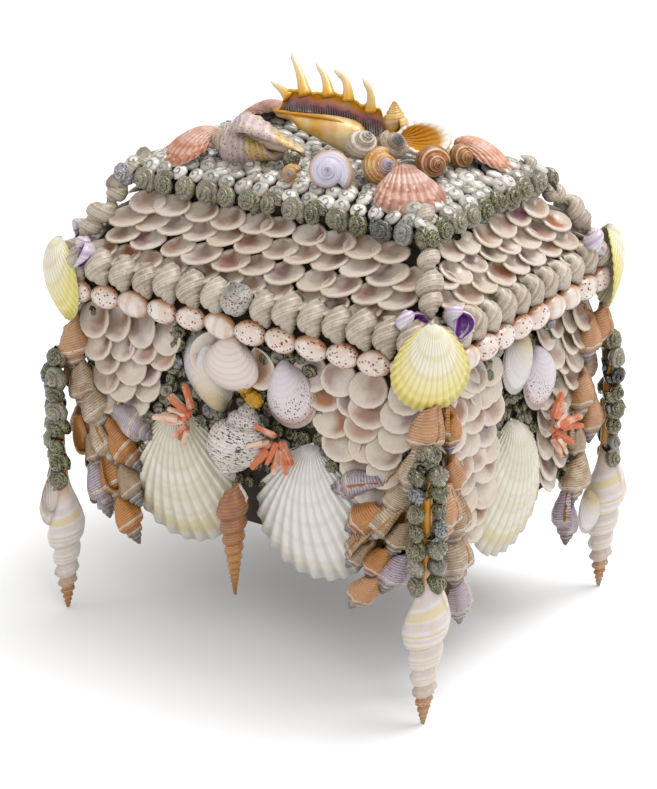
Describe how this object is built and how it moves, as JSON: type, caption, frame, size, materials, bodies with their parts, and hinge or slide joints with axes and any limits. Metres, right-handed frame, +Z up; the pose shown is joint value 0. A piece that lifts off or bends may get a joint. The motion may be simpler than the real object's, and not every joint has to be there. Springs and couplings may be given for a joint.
{
  "type": "shellwork box",
  "caption": "Shell-covered wooden casket with a lift-off hipped lid, standing on spindle-shell legs.",
  "frame": {"origin": "on the table under the middle of the box", "axes": "+Z up, -Y out of the front with two scallops, +X to the viewer's right of the front"},
  "size_m": [0.3392, 0.275, 0.3931],
  "materials": {
    "wood": "dark stained softwood with a matt putty",
    "spindle_shell": "white-lilac shell with yellow bands, satin",
    "scallop_shell": "white ribbed shell, matt to satin",
    "auger_shell": "purple-brown to orange-tan shell, satin",
    "turban_shell": "cream shell with dark dashes, satin",
    "clam_shell": "white shell with brown specks, satin",
    "tellin_shell": "ivory shell stained mauve and brown inside, glossy",
    "stromb_shell": "orange, brown and grey banded shell, satin",
    "cowrie_shell": "white shell with maroon dots, glossy",
    "snail_shell": "grey-beige banded shell, satin",
    "periwinkle_shell": "olive shell with fine black specks, glossy",
    "button_shell": "cream-grey shell with a dark spiral, glossy",
    "cockle_shell": "white to lemon-yellow ribbed shell, satin",
    "fan_cockle_shell": "terracotta and pink mottled ribbed shell, satin",
    "spider_conch_shell": "yellow-orange shell with a purple-black mouth",
    "knobbed_conch_shell": "cream and lavender beaded shell, matt",
    "moon_shell": "lavender disc in a tan coil, satin",
    "orange_turban_shell": "orange-tan ribbed shell, satin",
    "yellow_shell": "yellow shell with a white frilled lip, glossy"
  },
  "bodies": {
    "root": {"box_carcass": "wood", "lid_carcass": "wood", "leg_spindle_front_left": "spindle_shell", "leg_spindle_front_right": "spindle_shell", "leg_spindle_back_left": "spindle_shell", "leg_spindle_back_right": "spindle_shell", "cockle_front_left": "cockle_shell", "cockle_front_right": "cockle_shell", "cockle_back_left": "cockle_shell", "cockle_back_right": "cockle_shell", "scallop_front_left": "scallop_shell", "scallop_front_right": "scallop_shell", "scallop_right_middle": "scallop_shell", "scallop_back_left": "scallop_shell", "scallop_back_right": "scallop_shell", "scallop_left_middle": "scallop_shell", "auger_front": "auger_shell", "turban_front": "turban_shell", "clams_front": "clam_shell", "clams_right": "clam_shell", "strombs_front_left": "stromb_shell", "strombs_front_right": "stromb_shell", "cowries_front": "cowrie_shell", "snails_front": "snail_shell", "strombs_right_left": "stromb_shell", "strombs_right_right": "stromb_shell", "cowries_right": "cowrie_shell", "snails_right": "snail_shell", "strombs_back_left": "stromb_shell", "strombs_back_right": "stromb_shell", "cowries_back": "cowrie_shell", "snails_back": "snail_shell", "strombs_left_left": "stromb_shell", "strombs_left_right": "stromb_shell", "cowries_left": "cowrie_shell", "snails_left": "snail_shell", "periwinkle_ring": "periwinkle_shell", "platform_cockle_front_left": "fan_cockle_shell", "platform_cockle_front_right": "fan_cockle_shell", "platform_cockle_back_left": "fan_cockle_shell", "platform_cockle_back_right": "fan_cockle_shell", "spider_conch": "spider_conch_shell", "knobbed_conch": "knobbed_conch_shell", "moon_shell": "moon_shell", "orange_turban": "orange_turban_shell", "brown_turban": "stromb_shell", "yellow_shell": "yellow_shell", "platform_buttons": "button_shell", "lid_tellins_front": "tellin_shell", "wall_tellins_front_left": "tellin_shell", "wall_tellins_front_right": "tellin_shell", "lid_tellins_right": "tellin_shell", "wall_tellins_right_left": "tellin_shell", "wall_tellins_right_right": "tellin_shell", "lid_tellins_back": "tellin_shell", "wall_tellins_back_left": "tellin_shell", "wall_tellins_back_right": "tellin_shell", "lid_tellins_left": "tellin_shell", "wall_tellins_left_left": "tellin_shell", "wall_tellins_left_right": "tellin_shell"}
  },
  "joints": []
}
